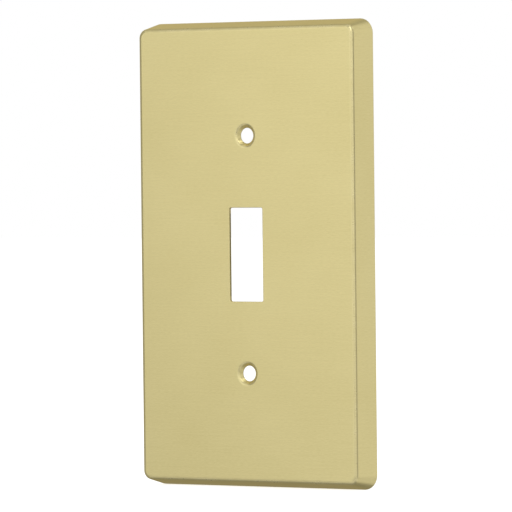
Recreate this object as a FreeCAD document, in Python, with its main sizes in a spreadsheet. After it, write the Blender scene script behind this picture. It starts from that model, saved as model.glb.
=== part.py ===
"""One-gang cover plate for a toggle switch, drawn from a single sheet of brass.

Frame: millimetres, +Z up, +X to the right seen from the room, +Y into the wall.
The origin is the centre of the rim plane, which is the plane of the finished wall.
"""
import FreeCAD, Part
import math
import os
import Sketcher

# Driving dimensions: (alias, value, what it is). Lengths in millimetres, angles in degrees.
DIMENSIONS = [
    ("plate_width", 69.85, "rim to rim across, 2-3/4 in"),
    ("plate_height", 118.5, "rim to rim up the plate"),
    ("plate_depth", 7.0, "from the wall to the front face"),
    ("sheet_thickness", 0.8, "of the brass sheet, the same all over"),
    ("flange_lean", 1.65, "how far each flange leans in between the wall and the face"),
    ("rim_corner_radius", 3.8, "outer corner of the rim, at the wall"),
    ("face_bend_radius", 1.15, "outside of the bend between the face and a flange"),
    ("slot_width", 10.3, "toggle slot, 0.406 in"),
    ("slot_height", 23.8, "toggle slot, 0.937 in"),
    ("slot_corner_radius", 0.45, "corners of the toggle slot"),
    ("screw_spacing", 60.325, "between the two screw holes, 2-3/8 in"),
    ("screw_hole_radius", 1.98, "clearance for a number 6 screw"),
    ("seat_half_angle", 41.0, "between a screw seat's cone and its axis"),
    ("seat_depth", 0.95, "from the face to the narrow end of the seat"),
    ("hole_land", 0.2, "straight wall left in the hole behind the seat"),
    ("shoulder_radius", 1.0, "where the face rolls over into a screw seat"),
]
SIZE = {alias: value for alias, value, meaning in DIMENSIONS}

# The radius at which the flat face ends and a screw seat begins, as an expression of the cells.
MOUTH_RADIUS = (
    "$screw_hole_radius + $seat_depth * tan($seat_half_angle)"
    " + $shoulder_radius * tan(45 - $seat_half_angle / 2)"
)

# Two faces or planes this close together are one.
TOUCHING = 1e-6

# Sketcher's numbers: the points of a piece of geometry, and a sketch's own origin and Y axis.
START, END, CENTRE = 1, 2, 3
ROOT = (-1, 1)
Y_AXIS = -2


def driving_sheet(doc):
    """The spreadsheet that every size below is bound to."""
    sheet = doc.addObject("Spreadsheet::Sheet", "Dimensions")
    for row, (alias, value, meaning) in enumerate(DIMENSIONS, start=1):
        sheet.set(f"A{row}", alias)
        sheet.set(f"B{row}", str(value))
        sheet.set(f"C{row}", meaning)
        sheet.setAlias(f"B{row}", alias)
    doc.recompute()


def bind(target, name, expression):
    """Bind a property to an expression, in which $alias is a cell of the sheet."""
    target.setExpression(name, expression.replace("$", "Dimensions."))


def origin_plane(body, role):
    """The body's own origin plane that has this role."""
    return next(item for item in body.Origin.OriginFeatures if item.Role == role)


def new_sketch(body, name, role):
    """An empty sketch on one of the body's origin planes."""
    sketch = body.newObject("Sketcher::SketchObject", name)
    sketch.AttachmentSupport = (origin_plane(body, role), [""])
    sketch.MapMode = "FlatFace"
    return sketch


def add_line(sketch, start, end, construction=False):
    """A straight side of a sketch."""
    return sketch.addGeometry(Part.LineSegment(start, end), construction)


def add_arc(sketch, centre, radius, start_angle, end_angle):
    """An arc of a sketch, anticlockwise between two angles in degrees."""
    circle = Part.Circle(centre, FreeCAD.Vector(0, 0, 1), radius)
    arc = Part.ArcOfCircle(circle, math.radians(start_angle), math.radians(end_angle))
    return sketch.addGeometry(arc, False)


def hold(sketch, kind, *elements):
    """Add a geometric constraint."""
    sketch.addConstraint(Sketcher.Constraint(kind, *elements))


def drive(sketch, name, expression, kind, *elements):
    """Add a named dimension, with its value last, and bind it to the sheet."""
    index = sketch.addConstraint(Sketcher.Constraint(kind, *elements))
    sketch.renameConstraint(index, name)
    bind(sketch, f"Constraints.{name}", expression)


def rounded_rectangle(sketch, width, height, radius, inset=("0", 0.0)):
    """A rectangle with round corners, centred on the sketch's origin.

    Its sizes are aliases. The inset, an expression and its value, moves every side inwards.
    """
    inset_expression, inset_value = inset
    x_edge = SIZE[width] / 2 - inset_value
    y_edge = SIZE[height] / 2 - inset_value
    x_bend = SIZE[width] / 2 - SIZE[radius]
    y_bend = SIZE[height] / 2 - SIZE[radius]
    point = FreeCAD.Vector
    top = add_line(sketch, point(-x_bend, y_edge), point(x_bend, y_edge))
    right = add_line(sketch, point(x_edge, y_bend), point(x_edge, -y_bend))
    bottom = add_line(sketch, point(x_bend, -y_edge), point(-x_bend, -y_edge))
    left = add_line(sketch, point(-x_edge, -y_bend), point(-x_edge, y_bend))
    turns = [
        (top, right, point(x_bend, y_bend), 0),
        (right, bottom, point(x_bend, -y_bend), 270),
        (bottom, left, point(-x_bend, -y_bend), 180),
        (left, top, point(-x_bend, y_bend), 90),
    ]
    corners = []
    for before, after, centre, angle in turns:
        corner = add_arc(sketch, centre, SIZE[radius] - inset_value, angle, angle + 90)
        hold(sketch, "Tangent", before, END, corner, END)
        hold(sketch, "Tangent", corner, START, after, START)
        corners.append(corner)
    for side in (top, bottom):
        hold(sketch, "Horizontal", side)
    for side in (right, left):
        hold(sketch, "Vertical", side)
    for corner in corners[1:]:
        hold(sketch, "Equal", corners[0], corner)
    hold(sketch, "Symmetric", corners[0], CENTRE, corners[2], CENTRE, *ROOT)
    drive(sketch, "width", f"${width} - 2 * ({inset_expression})",
          "DistanceX", left, START, right, START, 2 * x_edge)
    drive(sketch, "height", f"${height} - 2 * ({inset_expression})",
          "DistanceY", bottom, START, top, START, 2 * y_edge)
    drive(sketch, "corner", f"${radius} - ({inset_expression})",
          "Radius", corners[0], SIZE[radius] - inset_value)


def mouth_radius():
    """The value of MOUTH_RADIUS, for the sketches' first geometry."""
    lean = math.radians(SIZE["seat_half_angle"])
    rolled = SIZE["shoulder_radius"] * math.tan(math.pi / 4 - lean / 2)
    return SIZE["screw_hole_radius"] + SIZE["seat_depth"] * math.tan(lean) + rolled


def seat_section(sketch):
    """The sheet's section where it is formed into a screw seat, to turn about the X axis.

    X is the depth behind the face and Y the distance from the screw's axis. The sheet rolls over
    from the flat face, runs down the seat's cone at its full thickness, and ends square to the
    cone, apart from a short straight land that the screw passes through.
    """
    half_angle = SIZE["seat_half_angle"]
    thickness = SIZE["sheet_thickness"]
    front_radius = SIZE["shoulder_radius"]
    back_radius = front_radius - thickness
    lean = math.radians(half_angle)
    through_cone = FreeCAD.Vector(math.sin(lean), math.cos(lean))
    through_face = FreeCAD.Vector(1, 0)

    seat_end = FreeCAD.Vector(SIZE["seat_depth"], SIZE["screw_hole_radius"])
    land_end = seat_end + through_face * SIZE["hole_land"]
    back_end = seat_end + through_cone * thickness
    centre = FreeCAD.Vector(front_radius, mouth_radius())
    turn = (180, 180 + 90 - half_angle)

    side = add_line(sketch, centre - through_face * back_radius, centre - through_face * front_radius)
    shoulder = add_arc(sketch, centre, front_radius, *turn)
    seat = add_line(sketch, centre - through_cone * front_radius, seat_end)
    land = add_line(sketch, seat_end, land_end)
    edge = add_line(sketch, land_end, back_end)
    back = add_line(sketch, back_end, centre - through_cone * back_radius)
    root = add_arc(sketch, centre, back_radius, *turn)
    square = add_line(sketch, seat_end, back_end, construction=True)

    hold(sketch, "Horizontal", side)
    hold(sketch, "Horizontal", land)
    hold(sketch, "Coincident", side, END, shoulder, START)
    hold(sketch, "Tangent", shoulder, END, seat, START)
    hold(sketch, "Coincident", seat, END, land, START)
    hold(sketch, "Coincident", land, END, edge, START)
    hold(sketch, "Coincident", edge, END, back, START)
    hold(sketch, "Tangent", back, END, root, END)
    hold(sketch, "Coincident", root, START, side, START)
    hold(sketch, "Coincident", root, CENTRE, shoulder, CENTRE)
    hold(sketch, "PointOnObject", shoulder, CENTRE, side)
    hold(sketch, "PointOnObject", side, END, Y_AXIS)
    hold(sketch, "Coincident", square, START, seat, END)
    hold(sketch, "Coincident", square, END, back, START)
    hold(sketch, "Perpendicular", square, seat)
    hold(sketch, "Parallel", back, seat)
    drive(sketch, "shoulder", "$shoulder_radius", "Radius", shoulder, front_radius)
    drive(sketch, "root", "$shoulder_radius - $sheet_thickness", "Radius", root, back_radius)
    drive(sketch, "seat_depth", "$seat_depth", "DistanceX", *ROOT, seat, END, seat_end.x)
    drive(sketch, "hole", "$screw_hole_radius", "DistanceY", *ROOT, seat, END, seat_end.y)
    drive(sketch, "land", "$hole_land", "DistanceX", land, START, land, END, SIZE["hole_land"])
    drive(sketch, "mouth", MOUTH_RADIUS, "DistanceY", *ROOT, side, END, mouth_radius())


def face_at(shape, depth):
    """The name of the flat face square to Y that lies this far in front of the wall."""
    for number, face in enumerate(shape.Faces, start=1):
        box = face.BoundBox
        if abs(box.YMin + depth) < TOUCHING and abs(box.YMax + depth) < TOUCHING:
            return f"Face{number}"
    raise ValueError(f"no flat face {depth} mm in front of the wall")


def formed_tray(body):
    """The drawn tray: a face with leaning flanges, open towards the wall."""
    lean = math.atan(SIZE["flange_lean"] / SIZE["plate_depth"])
    rim_wall = ("$sheet_thickness / cos(atan($flange_lean / $plate_depth))",
                SIZE["sheet_thickness"] / math.cos(lean))

    rim = new_sketch(body, "OuterRim", "XZ_Plane")
    rounded_rectangle(rim, "plate_width", "plate_height", "rim_corner_radius")
    block = body.newObject("PartDesign::Pad", "TrayBlock")
    block.Profile = rim
    bind(block, "Length", "$plate_depth")
    bind(block, "TaperAngle", "-atan($flange_lean / $plate_depth)")
    doc.recompute()

    outer_bend = body.newObject("PartDesign::Fillet", "OuterBend")
    outer_bend.Base = (block, [face_at(block.Shape, SIZE["plate_depth"])])
    bind(outer_bend, "Radius", "$face_bend_radius")
    doc.recompute()

    inner_rim = new_sketch(body, "InnerRim", "XZ_Plane")
    rounded_rectangle(inner_rim, "plate_width", "plate_height", "rim_corner_radius", rim_wall)
    hollow = body.newObject("PartDesign::Pocket", "Hollow")
    hollow.Profile = inner_rim
    hollow.Reversed = True
    bind(hollow, "Length", "$plate_depth - $sheet_thickness")
    bind(hollow, "TaperAngle", "-atan($flange_lean / $plate_depth)")
    doc.recompute()

    inner_bend = body.newObject("PartDesign::Fillet", "InnerBend")
    inner_depth = SIZE["plate_depth"] - SIZE["sheet_thickness"]
    inner_bend.Base = (hollow, [face_at(hollow.Shape, inner_depth)])
    bind(inner_bend, "Radius", "$face_bend_radius - $sheet_thickness")
    doc.recompute()


def screw_seats(body):
    """Two seats for oval-head screws, formed inwards from the face."""
    mouth = new_sketch(body, "SeatMouth", "XZ_Plane")
    centre = FreeCAD.Vector(0, SIZE["screw_spacing"] / 2)
    radius = mouth_radius()
    circle = mouth.addGeometry(Part.Circle(centre, FreeCAD.Vector(0, 0, 1), radius), False)
    hold(mouth, "PointOnObject", circle, CENTRE, Y_AXIS)
    drive(mouth, "height", "$screw_spacing / 2", "DistanceY", *ROOT, circle, CENTRE, centre.y)
    drive(mouth, "mouth", MOUTH_RADIUS, "Radius", circle, radius)
    opening = body.newObject("PartDesign::Pocket", "SeatOpening")
    opening.Profile = mouth
    opening.Type = "ThroughAll"
    opening.Reversed = True
    doc.recompute()

    section = new_sketch(body, "SeatSection", "YZ_Plane")
    seat_section(section)
    bind(section, "AttachmentOffset.Base.x", "-$plate_depth")
    bind(section, "AttachmentOffset.Base.y", "$screw_spacing / 2")
    seat = body.newObject("PartDesign::Revolution", "UpperSeat")
    seat.Profile = section
    seat.ReferenceAxis = (section, ["H_Axis"])
    seat.Angle = 360
    doc.recompute()

    pair = body.newObject("PartDesign::Mirrored", "LowerSeat")
    pair.Originals = [opening, seat]
    pair.MirrorPlane = (origin_plane(body, "XY_Plane"), [""])
    body.Tip = pair
    doc.recompute()


def toggle_slot(body):
    """The slot that the switch's lever stands out of."""
    outline = new_sketch(body, "SlotOutline", "XZ_Plane")
    rounded_rectangle(outline, "slot_width", "slot_height", "slot_corner_radius")
    slot = body.newObject("PartDesign::Pocket", "ToggleSlot")
    slot.Profile = outline
    slot.Type = "ThroughAll"
    slot.Reversed = True
    doc.recompute()


def check_cuts(body):
    """Stop if a pocket pointed away from the metal and removed nothing."""
    for feature in body.Group:
        if feature.TypeId != "PartDesign::Pocket":
            continue
        removed = feature.BaseFeature.Shape.Volume - feature.Shape.Volume
        print(f"{feature.Label} removes {removed:.1f} cubic mm")
        if removed <= 0:
            raise RuntimeError(f"{feature.Label} cuts nothing")


def check_document(doc, body):
    """Stop if any object failed, or if the plate isn't one sound solid."""
    for item in doc.Objects:
        if {"Invalid", "Error"} & set(item.State):
            raise RuntimeError(f"{item.Label} failed: {item.State}")
    shape = body.Shape
    if shape.isNull() or not shape.isValid() or len(shape.Solids) != 1:
        raise RuntimeError(f"{body.Label} isn't one sound solid")
    check_cuts(body)


doc = FreeCAD.newDocument("toggle_plate")
driving_sheet(doc)
plate = doc.addObject("PartDesign::Body", "SwitchPlate")
plate.Label = "switch_plate"
plate.Placement = FreeCAD.Placement()
formed_tray(plate)
screw_seats(plate)
toggle_slot(plate)
doc.recompute()
check_document(doc, plate)

os.makedirs("parts", exist_ok=True)
plate.Shape.exportStep(f"parts/{plate.Label}.step")
print(f"{plate.Label}: {plate.Shape.Volume:.1f} cubic mm, {len(plate.Shape.Faces)} faces")
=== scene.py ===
"""One-gang toggle plate of brushed brass, standing on a pale floor in soft studio light."""

import math

import bpy
from mathutils import Matrix, Vector


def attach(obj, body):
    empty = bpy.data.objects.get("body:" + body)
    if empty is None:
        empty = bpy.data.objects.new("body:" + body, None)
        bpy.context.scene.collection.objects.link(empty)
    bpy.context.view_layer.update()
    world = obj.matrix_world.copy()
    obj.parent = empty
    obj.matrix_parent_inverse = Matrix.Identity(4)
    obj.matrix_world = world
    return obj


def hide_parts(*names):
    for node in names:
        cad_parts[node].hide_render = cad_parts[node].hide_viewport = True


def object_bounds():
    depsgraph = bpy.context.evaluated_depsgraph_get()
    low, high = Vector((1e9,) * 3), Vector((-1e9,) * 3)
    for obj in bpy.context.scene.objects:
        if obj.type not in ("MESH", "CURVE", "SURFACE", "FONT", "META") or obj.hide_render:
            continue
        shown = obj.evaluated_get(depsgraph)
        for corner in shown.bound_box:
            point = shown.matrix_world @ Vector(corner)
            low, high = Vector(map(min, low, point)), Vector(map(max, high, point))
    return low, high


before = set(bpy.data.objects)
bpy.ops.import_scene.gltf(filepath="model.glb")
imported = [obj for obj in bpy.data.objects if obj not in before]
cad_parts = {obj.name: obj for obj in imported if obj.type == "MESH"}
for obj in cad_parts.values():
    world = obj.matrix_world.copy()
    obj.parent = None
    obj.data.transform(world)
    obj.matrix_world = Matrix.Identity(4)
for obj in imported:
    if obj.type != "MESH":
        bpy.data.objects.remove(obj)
CAD_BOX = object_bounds()

MM = 0.001
QUARTER_TURN, EIGHTH_TURN = math.pi / 2, math.pi / 4

# The formed sheet, in metres, as the CAD model has it.
WIDTH, HEIGHT, DEPTH = 69.85 * MM, 118.5 * MM, 7.0 * MM
SHEET = 0.8 * MM
LEAN = 1.65 * MM
RIM_CORNER = 3.8 * MM
BEND = 1.15 * MM
SLOT_WIDTH, SLOT_HEIGHT, SLOT_CORNER = 10.3 * MM, 23.8 * MM, 0.45 * MM
SCREW_HEIGHT = 60.325 / 2 * MM
HOLE_RADIUS = 1.98 * MM
SEAT_ANGLE = math.radians(41)
SEAT_DEPTH = 0.95 * MM
HOLE_LAND = 0.2 * MM
SHOULDER = 1.0 * MM

# Where the flat face begins, in from the rim, and its corner radius there.
FACE_INSET = LEAN + BEND * math.tan((QUARTER_TURN - math.atan(LEAN / DEPTH)) / 2)
FACE_CORNER = RIM_CORNER - FACE_INSET

# Edges that shearing, punching and deburring leave slightly round.
RIM_EDGE = 0.10 * MM
SLOT_FRONT_EDGE, SLOT_BACK_EDGE = 0.16 * MM, 0.05 * MM
HOLE_EDGE = 0.05 * MM

# The face is a grid of cells. A patch of it is left out round each opening, for rings to fill.
PATCH_CELL, OUTER_CELL = 1.0 * MM, 2.0 * MM
PATCH_HALF_WIDTH = 7.0 * MM
SCREW_PATCH_HALF_HEIGHT = 7.0 * MM
SLOT_PATCH_HALF_HEIGHT = 14.0 * MM
CORNER_STEPS, SLOT_CORNER_STEPS = 4, 2
RING_SHARES = (0.12, 0.3, 0.52, 0.76)

# Two points closer than this are one, in metres.
SAME_PLACE = 1e-8

# A surface that faces the room less than this, by its normal's Y, isn't on the brushed front.
FRONT_NORMAL_Y = -0.13


# ------------------------------------------------------------------ sections


def left_of(direction):
    """A 2D direction turned a quarter turn to the left."""
    return Vector((-direction.y, direction.x))


def add_stretch(section, end, normal, parts):
    """Continues a section straight to a point, unless it is there already."""
    start = section[-1][0]
    if (end - start).length > SAME_PLACE:
        section += [(start.lerp(end, k / parts), normal, 0.0) for k in range(1, parts + 1)]


def section_of(corners, radii, steps, parts):
    """An open 2D line with round corners, as (point, unit normal on the line's left, edge).

    radii and steps have one number for each corner between the ends. parts has one for each
    straight stretch, which is cut into that many. edge is 1 halfway round a corner and 0 at
    its ends and on the straight stretches.
    """
    corners = [Vector(corner) for corner in corners]
    ways = [(b - a).normalized() for a, b in zip(corners, corners[1:])]
    section = [(corners[0], left_of(ways[0]), 0.0)]
    for i, radius in enumerate(radii):
        before, after = ways[i], ways[i + 1]
        turn = math.atan2(before.x * after.y - before.y * after.x, before.dot(after))
        tangent_point = corners[i + 1] - before * radius * math.tan(abs(turn) / 2)
        first_normal = left_of(before)
        add_stretch(section, tangent_point, first_normal, parts[i])
        signed_radius = math.copysign(radius, turn)
        centre = tangent_point + first_normal * signed_radius
        for k in range(1, steps[i] + 1):
            share = k / steps[i]
            normal = Matrix.Rotation(turn * share, 2) @ first_normal
            section.append((centre - normal * signed_radius, normal, math.sin(math.pi * share)))
    add_stretch(section, corners[-1], left_of(ways[-1]), parts[-1])
    return section


def tray_section():
    """The sheet from the face over the flange and round the rim to the inside, as (inset, Y)."""
    slope = LEAN / DEPTH
    rim_wall = SHEET * math.hypot(1, slope)
    inside = SHEET - DEPTH
    corners = [
        (FACE_INSET, -DEPTH),
        (LEAN, -DEPTH),
        (0, 0),
        (rim_wall, 0),
        (rim_wall - slope * inside, inside),
        (FACE_INSET, inside),
    ]
    radii = (BEND, RIM_EDGE, RIM_EDGE, BEND - SHEET)
    steps = (10, 4, 4, 6)
    parts = (1, 6, 1, 6, 1)
    return section_of(corners, radii, steps, parts)


def seat_section():
    """The sheet where it dips into a screw seat, as (distance from the screw's axis, Y)."""
    spread = SEAT_DEPTH * math.tan(SEAT_ANGLE)
    rolled = math.tan((QUARTER_TURN - SEAT_ANGLE) / 2)
    mouth = HOLE_RADIUS + spread + SHOULDER * rolled
    inside = SHEET - DEPTH
    seat_end = Vector((HOLE_RADIUS, SEAT_DEPTH - DEPTH))
    corners = [
        (mouth, -DEPTH),
        (HOLE_RADIUS + spread, -DEPTH),
        seat_end,
        seat_end + Vector((0, HOLE_LAND)),
        seat_end + Vector((math.cos(SEAT_ANGLE), math.sin(SEAT_ANGLE))) * SHEET,
        (mouth - (SHOULDER - SHEET) * rolled, inside),
        (mouth, inside),
    ]
    radii = (SHOULDER, HOLE_EDGE, HOLE_EDGE, HOLE_EDGE, SHOULDER - SHEET)
    steps = (10, 3, 3, 3, 4)
    parts = (1, 3, 1, 2, 2, 1)
    return section_of(corners, radii, steps, parts)


def slot_section():
    """The sheet at the edge of the slot, as (distance from the slot's outline, Y)."""
    reach = 2 * SLOT_FRONT_EDGE
    inside = SHEET - DEPTH
    corners = [(reach, -DEPTH), (0, -DEPTH), (0, inside), (reach, inside)]
    radii = (SLOT_FRONT_EDGE, SLOT_BACK_EDGE)
    steps = (5, 3)
    parts = (1, 3, 1)
    return section_of(corners, radii, steps, parts)


# ------------------------------------------------------------------ outlines


def evenly(start, end, cell):
    """Places from start to end, both included, about one cell apart."""
    parts = max(1, round((end - start) / cell))
    return [start + (end - start) * k / parts for k in range(parts + 1)]


def side_of(stops, corner_steps=0):
    """One side of a rounded rectangle, as (place along it, tilt).

    stops are the places on its straight part. The half of each corner that belongs to it is one
    place, and the tilt turns there by up to an eighth of a turn.
    """
    tilts = [EIGHTH_TURN * k / corner_steps for k in range(1, corner_steps + 1)]
    start = [(stops[0], -tilt) for tilt in reversed(tilts)]
    return start + [(stop, 0.0) for stop in stops] + [(stops[-1], tilt) for tilt in tilts]


def stops_through(edges, cells):
    """Places from the first edge to the last through every other, with a cell size for each."""
    stops = [edges[0]]
    for start, end, cell in zip(edges, edges[1:], cells):
        stops += evenly(start, end, cell)[1:]
    return stops


def round_trip(left, right, bottom, top):
    """The rim of a block of grid points, anticlockwise from its upper right, as (column, row)."""
    trip = [(i, top) for i in range(right, left, -1)]
    trip += [(left, j) for j in range(top, bottom, -1)]
    trip += [(i, bottom) for i in range(left, right)]
    return trip + [(right, j) for j in range(bottom, top)]


def rounded_outline(columns, rows, radius):
    """A rounded rectangle's outline, as (point, outward direction) for each (column, row)."""
    right, top = len(columns) - 1, len(rows) - 1
    outline = {}
    for i, j in round_trip(0, right, 0, top):
        (x, x_tilt), (z, z_tilt) = columns[i], rows[j]
        if j in (0, top):
            away = Vector((math.sin(x_tilt), math.copysign(math.cos(x_tilt), z)))
        else:
            away = Vector((math.copysign(math.cos(z_tilt), x), math.sin(z_tilt)))
        outline[i, j] = (Vector((x, z)) + away * radius, away)
    return outline


def in_patch(column, row, patches, rim):
    """Whether a grid point (rim 1) or the cell up and right of it (rim 0) is inside a patch."""
    return any(
        left + rim <= column < right and bottom + rim <= row < top
        for left, right, bottom, top in patches
    )


# ------------------------------------------------------------------ the sheet


class Sheet:
    """The plate's surface as it is built up: points, their normals and the faces between them.

    Each point also has its place on the flat blank that the plate is pressed from. It says
    whether it lies on the brushed front (0) or on the inside or a sheared edge (1), and how
    near it is to the middle of a bend or a rounded edge (1), where handling burnishes it.
    """

    def __init__(self):
        self.places, self.normals, self.faces = [], [], []
        self.blank, self.bare, self.edge = [], [], []

    def point(self, place, normal, blank, edge=0.0):
        """Adds a point and gives its number."""
        self.places.append(place)
        self.normals.append(normal)
        self.blank.append(blank)
        self.bare.append(float(normal.y > FRONT_NORMAL_Y))
        self.edge.append(edge)
        return len(self.places) - 1

    def quad(self, corners):
        """Adds a face that looks the way its corners' normals do."""
        a, b, c, d = (self.places[k] for k in corners)
        meant = sum((self.normals[k] for k in corners), Vector((0, 0, 0)))
        faces_right = (c - a).cross(d - b).dot(meant) > 0
        self.faces.append(tuple(corners) if faces_right else tuple(reversed(corners)))

    def ring(self, outline, step, blank_distance=None):
        """Carries a section's point round an outline. It may lie further out on the blank."""
        (distance, y), normal, edge = step
        numbers = []
        for anchor, way in outline:
            flat = anchor + way * distance
            blank = flat if blank_distance is None else anchor + way * blank_distance
            turned = Vector((way.x * normal.x, normal.y, way.y * normal.x))
            numbers.append(self.point(Vector((flat.x, y, flat.y)), turned, blank, edge))
        return numbers

    def between(self, inner, outer, shares):
        """Rings on a flat face, each a share of the way from the inner ring to the outer one."""
        rings = []
        for share in shares:
            ring = []
            for a, b in zip(inner, outer):
                place = self.places[a].lerp(self.places[b], share)
                ring.append(self.point(place, self.normals[b], Vector((place.x, place.z))))
            rings.append(ring)
        return rings

    def skin(self, rings):
        """Faces between each ring and the next."""
        for first, second in zip(rings, rings[1:]):
            for k, start in enumerate(first):
                n = (k + 1) % len(first)
                self.quad((start, first[n], second[n], second[k]))

    def face(self, columns, rows, outline, corner, patches, y, normal):
        """A flat face as a grid inside an outline, less the patches. Gives its points by place."""
        numbers = {}
        for i, (x, x_tilt) in enumerate(columns):
            for j, (z, z_tilt) in enumerate(rows):
                if in_patch(i, j, patches, rim=1):
                    continue
                flat = Vector((x + corner * math.sin(x_tilt), z + corner * math.sin(z_tilt)))
                if (i, j) in outline:
                    flat = outline[i, j][0]
                numbers[i, j] = self.point(Vector((flat.x, y, flat.y)), normal, flat)
        for i in range(len(columns) - 1):
            for j in range(len(rows) - 1):
                if not in_patch(i, j, patches, rim=0):
                    around = (i, j), (i + 1, j), (i + 1, j + 1), (i, j + 1)
                    self.quad([numbers[place] for place in around])
        return numbers

    def opening(self, outline, section, front, back):
        """The sheet round an opening, from the patch in the front face to the one in the back."""
        rings = [self.ring(outline, step) for step in section]
        front_rings = self.between(rings[0], front, RING_SHARES)[::-1]
        back_rings = self.between(rings[-1], back, RING_SHARES)
        self.skin([front] + front_rings + rings + back_rings + [back])

    def mesh(self, name):
        """The surface as a mesh with smooth, exact normals."""
        made = bpy.data.meshes.new(name)
        made.from_pydata(self.places, [], self.faces)
        made.shade_smooth()
        blank = made.uv_layers.new(name="blank")
        for loop, uv in zip(made.loops, blank.data):
            uv.uv = self.blank[loop.vertex_index] / MM
        for label, values in (("bare", self.bare), ("edge", self.edge)):
            made.attributes.new(label, "FLOAT", "POINT").data.foreach_set("value", values)
        made.normals_split_custom_set_from_vertices(self.normals)
        return made


def run_lengths(section):
    """How far along a section each of its points is."""
    lengths = [0.0]
    for before, after in zip(section, section[1:]):
        lengths.append(lengths[-1] + (after[0] - before[0]).length)
    return lengths


def block(columns, rows, middle, half_width, half_height):
    """The grid block round a point, as its first and last column and its first and last row."""

    def nearest(side, place):
        return min(range(len(side)), key=lambda k: abs(side[k][0] - place) + abs(side[k][1]))

    return (
        nearest(columns, -half_width),
        nearest(columns, half_width),
        nearest(rows, middle - half_height),
        nearest(rows, middle + half_height),
    )


def pressed_plate():
    """The whole plate: two faces, the drawn flanges between them, two screw seats and the slot."""
    x_end, z_end = WIDTH / 2 - RIM_CORNER, HEIGHT / 2 - RIM_CORNER
    seat_low = SCREW_HEIGHT - SCREW_PATCH_HALF_HEIGHT
    seat_high = SCREW_HEIGHT + SCREW_PATCH_HALF_HEIGHT
    x_edges = [-x_end, -PATCH_HALF_WIDTH, PATCH_HALF_WIDTH, x_end]
    z_edges = [-z_end, -seat_high, -seat_low, -SLOT_PATCH_HALF_HEIGHT]
    z_edges += [-z for z in reversed(z_edges)]
    wide, fine = OUTER_CELL, PATCH_CELL
    columns = side_of(stops_through(x_edges, (wide, fine, wide)), CORNER_STEPS)
    z_stops = stops_through(z_edges, (wide, fine, wide, fine, wide, fine, wide))
    rows = side_of(z_stops, CORNER_STEPS)

    slot_patch = block(columns, rows, 0, PATCH_HALF_WIDTH, SLOT_PATCH_HALF_HEIGHT)
    seat_patches = [
        block(columns, rows, height, PATCH_HALF_WIDTH, SCREW_PATCH_HALF_HEIGHT)
        for height in (SCREW_HEIGHT, -SCREW_HEIGHT)
    ]
    patches = [slot_patch] + seat_patches
    face_outline = rounded_outline(columns, rows, FACE_CORNER)
    sheet = Sheet()
    layout = (columns, rows, face_outline, FACE_CORNER, patches)
    front = sheet.face(*layout, -DEPTH, Vector((0, -1, 0)))
    back = sheet.face(*layout, SHEET - DEPTH, Vector((0, 1, 0)))

    def rims_of(patch):
        trip = round_trip(*patch)
        return [front[place] for place in trip], [back[place] for place in trip]

    section = tray_section()
    run = run_lengths(section)
    flanges = []
    outline = [
        (point + way * (RIM_CORNER - FACE_CORNER), -way) for point, way in face_outline.values()
    ]
    for k in range(1, len(section) - 1):
        unfolded = FACE_INSET - min(run[k], run[-1] - run[k])
        flanges.append(sheet.ring(outline, section[k], unfolded))
    front_rim, back_rim = rims_of((0, len(columns) - 1, 0, len(rows) - 1))
    sheet.skin([front_rim] + flanges + [back_rim])

    for height, patch in zip((SCREW_HEIGHT, -SCREW_HEIGHT), seat_patches):
        rims = rims_of(patch)
        angles = [EIGHTH_TURN + 2 * math.pi * k / len(rims[0]) for k in range(len(rims[0]))]
        axis = Vector((0, height))
        circle = [(axis, Vector((math.cos(angle), math.sin(angle)))) for angle in angles]
        sheet.opening(circle, seat_section(), *rims)

    left, right, bottom, top = slot_patch
    slot_sides = []
    for count, length in ((right - left, SLOT_WIDTH), (top - bottom, SLOT_HEIGHT)):
        straight = length / 2 - SLOT_CORNER
        cell = 2 * straight / (count - 2 * SLOT_CORNER_STEPS)
        slot_sides.append(side_of(evenly(-straight, straight, cell), SLOT_CORNER_STEPS))
    slot_outline = rounded_outline(*slot_sides, SLOT_CORNER)
    sheet.opening(list(slot_outline.values()), slot_section(), *rims_of(slot_patch))
    return sheet.mesh("brushed_plate")


# ------------------------------------------------------------------ material


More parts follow.
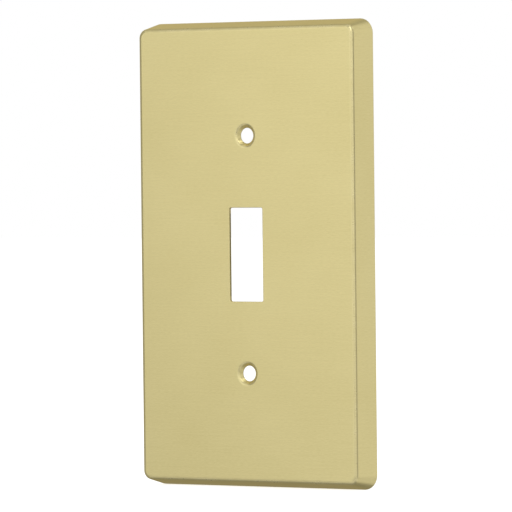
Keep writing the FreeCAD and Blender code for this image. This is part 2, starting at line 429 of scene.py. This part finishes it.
class Nodes:
    """A node tree that is written as expressions."""

    def __init__(self, tree):
        self.tree = tree

    def add(self, kind, settings=None, **inputs):
        """A node with its settings, and its inputs set or linked by name."""
        node = self.tree.nodes.new(kind)
        for name, value in (settings or {}).items():
            setattr(node, name, value)
        for name, value in inputs.items():
            self.feed(node.inputs[name.replace("_", " ")], value)
        return node

    def feed(self, socket, value):
        """Links a socket to another, or sets its value."""
        if isinstance(value, bpy.types.NodeSocket):
            self.tree.links.new(value, socket)
        else:
            socket.default_value = value

    def made(self, kind, values, **settings):
        """A node's first output, with its inputs fed in order. None leaves one as it is."""
        node = self.add(kind, settings)
        for socket, value in zip(node.inputs, values):
            if value is not None:
                self.feed(socket, value)
        return node.outputs[0]

    def maths(self, operation, *values):
        """A Math node's result."""
        return self.made("ShaderNodeMath", values, operation=operation)

    def between(self, share, first, second):
        """A value that is a share of the way from the first to the second."""
        return self.made("ShaderNodeMix", (share, None, first, second))

    def ranged(self, value, low, high, new_low, new_high):
        """A value moved from one range to another, and held within it."""
        return self.made("ShaderNodeMapRange", (value, low, high, new_low, new_high))

    def noise(self, place, x_scale, y_scale, detail, roughness):
        """Noise from 0 to 1 about a half, scaled apart along X and along Y."""
        scales = (x_scale, y_scale, 1.0)
        where = self.made("ShaderNodeVectorMath", (place, scales), operation="MULTIPLY")
        node = self.add(
            "ShaderNodeTexNoise", Vector=where, Scale=1.0, Detail=detail, Roughness=roughness
        )
        return node.outputs["Fac"]

    def mixed(self, share, first, second):
        """A mix of two colours."""
        node = self.add("ShaderNodeMix", {"data_type": "RGBA"})
        for name, value in (("Factor_Float", share), ("A_Color", first), ("B_Color", second)):
            socket = next(s for s in node.inputs if s.identifier == name)
            self.feed(socket, value)
        return next(s for s in node.outputs if s.identifier == "Result_Color")


# The darker and lighter tones of the brushed front and of the inside, and the tone of worn bends.
FRONT_TONES = (0.775, 0.672, 0.310, 1), (0.875, 0.768, 0.382, 1)
BACK_TONES = (0.62, 0.51, 0.22, 1), (0.76, 0.65, 0.32, 1)
WORN_TONE = (0.93, 0.83, 0.47, 1)

# Noise on the blank: its scale along X and along Y, per millimetre, its detail and roughness.
HAIRLINES = (0.8, 5.5, 3.0, 0.6)
STROKES = (0.08, 2.2, 2.0, 0.55)
CLOUD = (0.035, 0.045, 2.0, 0.55)
ROLLING = (1.1, 0.05, 3.0, 0.55)
RUBS = (0.30, 0.22, 3.0, 0.55)

# The share of the strokes in the grain, and of the cloud in the front's tone and in the back's.
STROKES_SHARE, FRONT_CLOUD_SHARE, BACK_CLOUD_SHARE = 0.27, 0.25, 0.5

# The range of noise that takes tones and wear from end to end, and the one that takes roughness.
TONE_NOISE, ROUGHNESS_NOISE = (0.35, 0.65), (0.3, 0.7)

# The least and the most roughness of the front and of the inside.
FRONT_ROUGHNESS, BACK_ROUGHNESS = (0.28, 0.36), (0.36, 0.50)

# How worn the middle of a bend is, least and most, and how much smoother full wear makes it.
BEND_WEAR, WEAR_SMOOTHING = (0.1, 0.5), 0.08

# How strongly the grain's relief shows, and how high it stands.
BUMP_STRENGTH, BUMP_HEIGHT = 0.35, 0.006 * MM


def brushed_brass():
    """Satin brass, brushed across the sheet before it was pressed, with a plain rolled inside."""
    material = bpy.data.materials.new("brushed_brass")
    material.use_nodes = True
    material.node_tree.nodes.clear()
    nodes = Nodes(material.node_tree)
    blank = nodes.add("ShaderNodeUVMap", {"uv_map": "blank"}).outputs["UV"]
    bare = nodes.add("ShaderNodeAttribute", {"attribute_name": "bare"}).outputs["Fac"]
    edge = nodes.add("ShaderNodeAttribute", {"attribute_name": "edge"}).outputs["Fac"]

    # The blank is in millimetres. Brush strokes run along X and rolling marks along Y.
    hairlines = nodes.noise(blank, *HAIRLINES)
    strokes = nodes.noise(blank, *STROKES)
    cloud = nodes.noise(blank, *CLOUD)
    rolling = nodes.noise(blank, *ROLLING)
    rubs = nodes.noise(blank, *RUBS)
    grain = nodes.between(STROKES_SHARE, hairlines, strokes)
    front_tone = nodes.between(FRONT_CLOUD_SHARE, grain, cloud)
    back_tone = nodes.between(BACK_CLOUD_SHARE, rolling, cloud)

    # Handling has burnished the bends and rounded edges, unevenly.
    worn = nodes.maths("MULTIPLY", edge, nodes.ranged(rubs, *TONE_NOISE, *BEND_WEAR))

    front = nodes.mixed(nodes.ranged(front_tone, *TONE_NOISE, 0, 1), *FRONT_TONES)
    back = nodes.mixed(nodes.ranged(back_tone, *TONE_NOISE, 0, 1), *BACK_TONES)
    colour = nodes.mixed(worn, nodes.mixed(bare, front, back), WORN_TONE)

    front_roughness = nodes.ranged(grain, *ROUGHNESS_NOISE, *FRONT_ROUGHNESS)
    back_roughness = nodes.ranged(back_tone, *ROUGHNESS_NOISE, *BACK_ROUGHNESS)
    unworn_roughness = nodes.between(bare, front_roughness, back_roughness)
    smoothing = nodes.maths("MULTIPLY", worn, WEAR_SMOOTHING)
    roughness = nodes.maths("SUBTRACT", unworn_roughness, smoothing)

    bump = nodes.add("ShaderNodeBump", Strength=BUMP_STRENGTH, Distance=BUMP_HEIGHT, Height=grain)
    tangent = nodes.add("ShaderNodeTangent", {"direction_type": "UV_MAP", "uv_map": "blank"})
    # The quarter turn of anisotropy spreads a highlight across the strokes, up and down the plate.
    shader = nodes.add(
        "ShaderNodeBsdfPrincipled",
        Base_Color=colour, Metallic=1.0, Roughness=roughness,
        Anisotropic=0.75, Anisotropic_Rotation=0.25, Specular_Tint=(1.0, 0.86, 0.5, 1.0),
        Coat_Weight=0.08, Coat_Roughness=0.25, Coat_IOR=1.5,
        Normal=bump.outputs["Normal"], Tangent=tangent.outputs["Tangent"],
    )
    nodes.add("ShaderNodeOutputMaterial", Surface=shader.outputs["BSDF"])
    return material


# ------------------------------------------------------------------ studio


WHITE = (1, 1, 1, 1)

# The room light, as a share of white, from straight below to straight above.
ROOM_BELOW, ROOM_ABOVE = 0.28, 0.46

# The lamps: name, degrees round from the front, degrees up, width, height, radiance (white is 1).
LAMP_DISTANCE = 0.8
LAMPS = (
    ("front_left", -20, 12, 0.66, 0.66, 0.65),
    ("front_right", 33, 12, 1.00, 0.62, 0.55),
    ("right", 118, 4, 0.70, 0.85, 0.42),
    ("upper_front", 34, 49, 0.38, 0.38, 1.55),
    ("upper_left", -40, 50, 0.50, 0.40, 0.30),
    ("upper_right", 112, 50, 0.80, 0.40, 0.40),
    ("over", 0, 88, 0.50, 0.50, 0.20),
    ("lower_front", 12, -47, 2.00, 0.50, 0.41),
    ("lower_right", 108, -45, 0.80, 0.40, 0.48),
    ("behind", -140, 28, 0.50, 0.40, 0.20),
)

# The floor: half its side, its tone, and the light that it gives off as a share of white.
FLOOR_HALF_SIDE, FLOOR_TONE, FLOOR_GLOW = 4.0, 0.9, 0.75

# The camera as it was fitted to the photograph, and the nearest and farthest that it sees.
CAMERA_AZIMUTH, CAMERA_ELEVATION, CAMERA_DISTANCE = 35.571, 0.901, 1.43175
CAMERA_TARGET = Vector((-1.256, -0.908, -0.462)) * MM
CAMERA_ROLL = math.radians(-0.602)
LENS, SENSOR_WIDTH = 395.67, 36.0
CLIP_START, CLIP_END = 0.05, 50.0


def direction(azimuth, elevation):
    """The way from the plate to something, in degrees round from the front and up."""
    a, e = math.radians(azimuth), math.radians(elevation)
    return Vector((math.sin(a) * math.cos(e), -math.cos(a) * math.cos(e), math.sin(e)))


def aimed(back):
    """The rotation of a lamp or camera that looks against a direction, upright."""
    return back.to_track_quat("Z", "Y")


def softbox(name, azimuth, elevation, width, height, radiance):
    """A rectangular area light that faces the plate, with the same radiance all over."""
    lamp = bpy.data.lights.new(name, "AREA")
    lamp.shape = "RECTANGLE"
    lamp.size, lamp.size_y = width, height
    lamp.energy = radiance * math.pi * width * height
    lamp_object = bpy.data.objects.new(name, lamp)
    away = direction(azimuth, elevation)
    lamp_object.location = away * LAMP_DISTANCE
    lamp_object.rotation_mode = "QUATERNION"
    lamp_object.rotation_quaternion = aimed(away)
    lamp_object.visible_camera = False
    bpy.context.scene.collection.objects.link(lamp_object)


def studio_world():
    """White behind the plate, and the room light for everything that the camera doesn't see."""
    world = bpy.data.worlds.new("studio")
    world.use_nodes = True
    world.node_tree.nodes.clear()
    nodes = Nodes(world.node_tree)
    way = nodes.add("ShaderNodeTexCoord").outputs["Generated"]
    up = nodes.add("ShaderNodeSeparateXYZ", Vector=way).outputs["Z"]
    level = nodes.ranged(up, -1.0, 1.0, ROOM_BELOW, ROOM_ABOVE)
    room = nodes.add("ShaderNodeBackground", Color=WHITE, Strength=level)
    backdrop = nodes.add("ShaderNodeBackground", Color=WHITE, Strength=1.0)
    seen = nodes.add("ShaderNodeLightPath").outputs["Is Camera Ray"]
    both = nodes.made("ShaderNodeMixShader", (seen, room.outputs[0], backdrop.outputs[0]))
    nodes.add("ShaderNodeOutputWorld", Surface=both)
    bpy.context.scene.world = world


def pale_floor():
    """A large, pale, matt floor that the plate stands on."""
    side, top = FLOOR_HALF_SIDE, CAD_BOX[0].z
    corners = [(-side, -side, top), (side, -side, top), (side, side, top), (-side, side, top)]
    mesh = bpy.data.meshes.new("floor")
    mesh.from_pydata(corners, [], [(0, 1, 2, 3)])
    floor = bpy.data.objects.new("floor", mesh)
    material = bpy.data.materials.new("pale_floor")
    material.use_nodes = True
    shader = material.node_tree.nodes["Principled BSDF"]
    shader.inputs["Base Color"].default_value = (FLOOR_TONE, FLOOR_TONE, FLOOR_TONE, 1)
    shader.inputs["Roughness"].default_value = 1.0
    shader.inputs["Specular IOR Level"].default_value = 0.0
    shader.inputs["Emission Color"].default_value = WHITE
    shader.inputs["Emission Strength"].default_value = FLOOR_GLOW
    mesh.materials.append(material)
    bpy.context.scene.collection.objects.link(floor)
    floor.visible_glossy = False
    floor.visible_diffuse = False


def studio_camera():
    """The camera that the plate is seen from: a long lens, nearly level, from the right."""
    camera = bpy.data.cameras.new("camera")
    camera.lens, camera.sensor_width = LENS, SENSOR_WIDTH
    camera.clip_start, camera.clip_end = CLIP_START, CLIP_END
    camera_object = bpy.data.objects.new("camera", camera)
    place = direction(CAMERA_AZIMUTH, CAMERA_ELEVATION) * CAMERA_DISTANCE
    roll = Matrix.Rotation(CAMERA_ROLL, 3, "Z").to_quaternion()
    camera_object.rotation_mode = "QUATERNION"
    camera_object.location = place
    camera_object.rotation_quaternion = aimed(place - CAMERA_TARGET) @ roll
    bpy.context.scene.collection.objects.link(camera_object)
    bpy.context.scene.camera = camera_object


plate_mesh = pressed_plate()
plate_mesh.materials.append(brushed_brass())
plate = bpy.data.objects.new("brushed_plate", plate_mesh)
bpy.context.scene.collection.objects.link(plate)
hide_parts("switch_plate")
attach(plate, "root")

studio_world()
for lamp in LAMPS:
    softbox(*lamp)
pale_floor()
studio_camera()

# White stays white, and colours keep their strength.
bpy.context.scene.view_settings.view_transform = "Standard"
